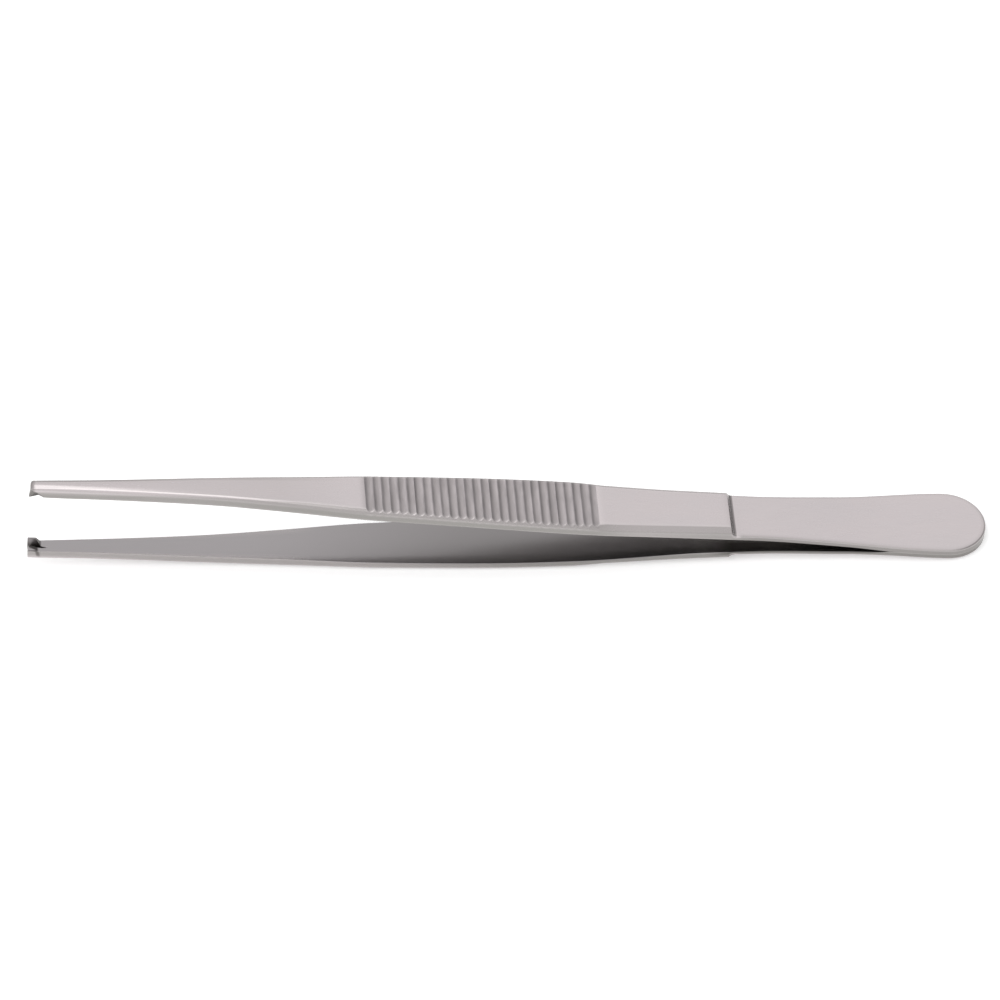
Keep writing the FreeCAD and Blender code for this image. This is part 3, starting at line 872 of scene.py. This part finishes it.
def grain_group():
    """Lengthwise hairlines, a slow mottle and crosswise streaks, as values around a half."""
    group, _, end = node_group("lengthwise_grain", (), ("Hairlines", "Mottle", "Streaks"))
    hairlines = noise(group, *HAIRLINES)
    mottle = noise(group, *MOTTLE)
    streaks = noise(group, *STREAKS)
    group.links.new(hairlines, end.inputs["Hairlines"])
    group.links.new(mottle, end.inputs["Mottle"])
    group.links.new(streaks, end.inputs["Streaks"])
    return group


def wear_group():
    """Polish that handling leaves on edges: the edge mask broken up by noise."""
    group, start, end = node_group("edge_polish", ("Edge",), ("Wear",))
    patches = noise(group, *WORN_PATCHES)
    broken = spread(group, patches, *PATCH_RANGE, LEAST_PATCH, 1.0)
    wear = maths(group, "MULTIPLY", start.outputs["Edge"], broken)
    group.links.new(wear, end.inputs["Wear"])
    return group


def steel_colour(tree, grain, wear, even):
    """Colour of the steel: each zone's colour is laid over the one before by its mask. The
    side's is partly painted shade, those far in between the arms, in the grooves, in the hollow
    and in the recesses are painted shade, and the one on the leaves' inner faces painted light.
    """
    colour = mixed(tree, grain.outputs["Mottle"], *OUTER_STEEL)
    # The side's colour: its duller ground finish together with painted shade.
    colour = mixed(tree, zone(tree, "side_ground_and_shade_zone"), colour, SIDE_GROUND_AND_SHADE_STEEL)
    # Painted shade on the inner face far in between the arms.
    inside = mixed(tree, zone(tree, "deep_shade_zone"), INNER_STEEL, DEEP_SHADE_STEEL)
    # Painted light on the inner faces of the leaves.
    inside = mixed(tree, zone(tree, "leaf_light_zone"), inside, LEAF_INNER_LIGHT_STEEL)
    colour = mixed(tree, zone(tree, "inner_zone"), colour, inside)
    streaks = spread(tree, grain.outputs["Streaks"], *STREAK_RANGE, 0.0, 1.0)
    rolled = mixed(tree, streaks, *GRIP_STEEL)
    colour = mixed(tree, zone(tree, "grip_zone"), colour, rolled)
    # Painted shade in the grooves, darker where they are deeper.
    grooves = maths(tree, "MULTIPLY", zone(tree, "groove_shade_zone"), GROOVE_SHADE_MIX)
    colour = mixed(tree, grooves, colour, GROOVE_SHADE_STEEL)
    # Painted shade in the hollow of the step.
    colour = mixed(tree, zone(tree, "hollow_shade_zone"), colour, HOLLOW_SHADE_STEEL)
    # Painted shade on the nose, tooth, fork, leaf's side and slot.
    colour = mixed(tree, zone(tree, "recess_shade_zone"), colour, RECESS_SHADE_STEEL)
    worn = maths(tree, "MULTIPLY", wear.outputs["Wear"], WORN_MIX)
    colour = mixed(tree, worn, colour, WORN_STEEL)
    lines = spread(tree, grain.outputs["Hairlines"], *GRAIN_RANGE, 0.0, GRAIN_MIX)
    return mixed(tree, maths(tree, "MULTIPLY", lines, even), colour, DARK_GRAIN)


def steel_roughness(tree, grain, wear, even):
    """Roughness of the steel: a base, with the hairlines, the inner face and the grip added
    and the worn edges taken off."""
    lines = spread(tree, grain.outputs["Hairlines"], *GRAIN_RANGE, 0.0, GRAIN_ROUGHNESS)
    rough = maths(tree, "ADD", maths(tree, "MULTIPLY", lines, even), ROUGHNESS)
    inner = maths(tree, "MULTIPLY", zone(tree, "inner_zone"), INNER_ROUGHNESS)
    grip = maths(tree, "MULTIPLY", zone(tree, "grip_zone"), GRIP_ROUGHNESS)
    worn = maths(tree, "MULTIPLY", wear.outputs["Wear"], WORN_SMOOTHNESS)
    rough = maths(tree, "ADD", maths(tree, "ADD", rough, inner), grip)
    return maths(tree, "SUBTRACT", rough, worn)


def satin_steel(grain_nodes, wear_nodes):
    """Stainless steel: satin outer face, duller sides, blasted inner face and grip. Its colour
    also holds painted shade and painted light.
    """
    material = bpy.data.materials.new("satin_stainless")
    material.use_nodes = True
    tree = material.node_tree
    shader = tree.nodes["Principled BSDF"]
    shader.inputs["Metallic"].default_value = 1.0
    grain = add(tree.nodes, "ShaderNodeGroup", node_tree=grain_nodes)
    wear = add(tree.nodes, "ShaderNodeGroup", node_tree=wear_nodes)
    tree.links.new(zone(tree, "edge_zone"), wear.inputs["Edge"])
    lost = maths(tree, "MULTIPLY", zone(tree, "inner_zone"), GRAIN_LOST_INSIDE)
    even = maths(tree, "SUBTRACT", 1.0, lost)
    tree.links.new(steel_colour(tree, grain, wear, even), shader.inputs["Base Color"])
    tree.links.new(steel_roughness(tree, grain, wear, even), shader.inputs["Roughness"])

    bump = add(tree.nodes, "ShaderNodeBump")
    bump.inputs["Strength"].default_value = BUMP_STRENGTH
    bump.inputs["Distance"].default_value = BUMP_DISTANCE
    lines = maths(tree, "MULTIPLY", grain.outputs["Hairlines"], even)
    tree.links.new(lines, bump.inputs["Height"])
    tree.links.new(bump.outputs["Normal"], shader.inputs["Normal"])
    return material


upper_piece, lower_piece, rest_shift = build_arms()
steel = satin_steel(grain_group(), wear_group())
for piece, node in ((upper_piece, "upper_arm"), (lower_piece, "lower_arm")):
    piece.data.materials.append(steel)
    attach(piece, "root")
    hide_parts(node)


# Stage, in metres: a pale floor and a soft studio round it. A range of the studio is two
# directions, and then the brightness or the dimming at each of them.
WHITE = (1.0, 1.0, 1.0, 1.0)
FLOOR_HALF = 3.0
FLOOR_COLOUR = (0.90, 0.90, 0.90, 1.0)
FLOOR_GLOW = 0.3
WORLD_STRENGTH = 1.05
WORLD_FRONT = (-0.6, 0.15, 1.3, 1.0)
WORLD_REAR = (0.28, 0.72, 1.0, 0.55)
WORLD_BEHIND = (0.0, 0.5, 0.0, 0.5)
WORLD_HORIZON = (0.05, 0.5, 1.0, 0.0)
STRIP_PLACE = (-0.035, -0.04, 0.26)
STRIP_TARGET = (-0.035, -0.04, 0.0)
STRIP_SIZE = (0.08, 0.30)
STRIP_POWER = 0.07

# Camera, in millimetres: its angles and the pixel of the photograph that shows its aim.
CAMERA_TURN = math.radians(6.15)
CAMERA_RISE = math.radians(45.0)
CAMERA_ROLL = math.radians(6.56)
CAMERA_DISTANCE = 1100.0
AIM_STATION = 72.5
PIXELS_PER_MM = 6.643
IMAGE_SIDE = 1000.0
AIM_PIXEL = (509.506, 522.503)
SENSOR = 36.0
CLIP_START = 0.01


def add_floor():
    """Pale floor, one large quad, that looks white to the camera and in the steel."""
    mesh = bpy.data.meshes.new("floor")
    side = FLOOR_HALF
    corners = [(-side, -side, 0), (side, -side, 0), (side, side, 0), (-side, side, 0)]
    mesh.from_pydata(corners, [], [(0, 1, 2, 3)])
    floor = bpy.data.objects.new("floor", mesh)
    bpy.context.scene.collection.objects.link(floor)
    material = bpy.data.materials.new("pale_floor")
    material.use_nodes = True
    tree = material.node_tree
    shader = tree.nodes["Principled BSDF"]
    shader.inputs["Base Color"].default_value = FLOOR_COLOUR
    shader.inputs["Roughness"].default_value = 1.0
    shader.inputs["Specular IOR Level"].default_value = 0.0
    shader.inputs["Emission Color"].default_value = WHITE
    rays = add(tree.nodes, "ShaderNodeLightPath").outputs
    shown = maths(tree, "MAXIMUM", rays["Is Camera Ray"], rays["Is Glossy Ray"])
    shown = maths(tree, "MAXIMUM", shown, rays["Is Transmission Ray"])
    glow = maths(tree, "MULTIPLY", shown, FLOOR_GLOW)
    tree.links.new(glow, shader.inputs["Emission Strength"])
    mesh.materials.append(material)


def add_world():
    """Even studio, a little brighter past the jaws, dimmer past the rear end and low behind."""
    world = bpy.data.worlds.new("studio")
    world.use_nodes = True
    tree = world.node_tree
    background = tree.nodes["Background"]
    background.inputs["Color"].default_value = WHITE
    place = add(tree.nodes, "ShaderNodeTexCoord")
    split = add(tree.nodes, "ShaderNodeSeparateXYZ")
    tree.links.new(place.outputs["Generated"], split.inputs["Vector"])
    lengthwise, backwards, upwards = [split.outputs[axis] for axis in "XYZ"]
    front = spread(tree, lengthwise, *WORLD_FRONT)
    rear = spread(tree, lengthwise, *WORLD_REAR)
    behind = spread(tree, backwards, *WORLD_BEHIND)
    horizon = spread(tree, upwards, *WORLD_HORIZON)
    dimmed = maths(tree, "SUBTRACT", 1.0, maths(tree, "MULTIPLY", behind, horizon))
    level = maths(tree, "MULTIPLY", maths(tree, "MULTIPLY", front, rear), dimmed)
    strength = maths(tree, "MULTIPLY", level, WORLD_STRENGTH)
    tree.links.new(strength, background.inputs["Strength"])
    bpy.context.scene.world = world


def add_strip_softbox():
    """Long soft lamp above the jaws and the grip that looks straight down."""
    light = bpy.data.lights.new("strip_softbox", "AREA")
    light.shape = "RECTANGLE"
    light.size, light.size_y = STRIP_SIZE
    light.energy = STRIP_POWER
    lamp = bpy.data.objects.new("strip_softbox", light)
    lamp.location = STRIP_PLACE
    aim = Vector(STRIP_TARGET) - Vector(STRIP_PLACE)
    lamp.rotation_euler = aim.to_track_quat("-Z", "Y").to_euler()
    bpy.context.scene.collection.objects.link(lamp)


def add_camera(shift):
    """Camera on the line that the photograph's outlines give."""
    turn, rise, roll = CAMERA_TURN, CAMERA_RISE, CAMERA_ROLL
    back = np.array([
        -math.sin(turn),
        -math.cos(turn) * math.sin(rise),
        math.cos(turn) * math.cos(rise),
    ])
    right = np.cross(-back, (0.0, 0.0, 1.0))
    right /= np.linalg.norm(right)
    up = np.cross(right, -back)
    rolled_right = math.cos(roll) * right + math.sin(roll) * up
    rolled_up = math.cos(roll) * up - math.sin(roll) * right
    aim = laid_down([AIM_STATION, 0.0, 0.0], shift)
    axes = laid_down([rolled_right, rolled_up, back], np.zeros(3))
    matrix = np.eye(4)
    matrix[:3, :3] = axes.T
    matrix[:3, 3] = (aim + CAMERA_DISTANCE * axes[2]) * MM
    lens = bpy.data.cameras.new("camera")
    lens.sensor_width = SENSOR
    lens.lens = PIXELS_PER_MM * CAMERA_DISTANCE / IMAGE_SIDE * SENSOR
    lens.shift_x = (IMAGE_SIDE / 2 - AIM_PIXEL[0]) / IMAGE_SIDE
    lens.shift_y = (AIM_PIXEL[1] - IMAGE_SIDE / 2) / IMAGE_SIDE
    lens.clip_start = CLIP_START
    camera = bpy.data.objects.new("camera", lens)
    camera.matrix_world = Matrix(matrix.tolist())
    bpy.context.scene.collection.objects.link(camera)
    bpy.context.scene.camera = camera


add_floor()
add_world()
add_strip_softbox()
add_camera(rest_shift)
bpy.context.scene.view_settings.view_transform = "Standard"

bpy.context.view_layer.update()
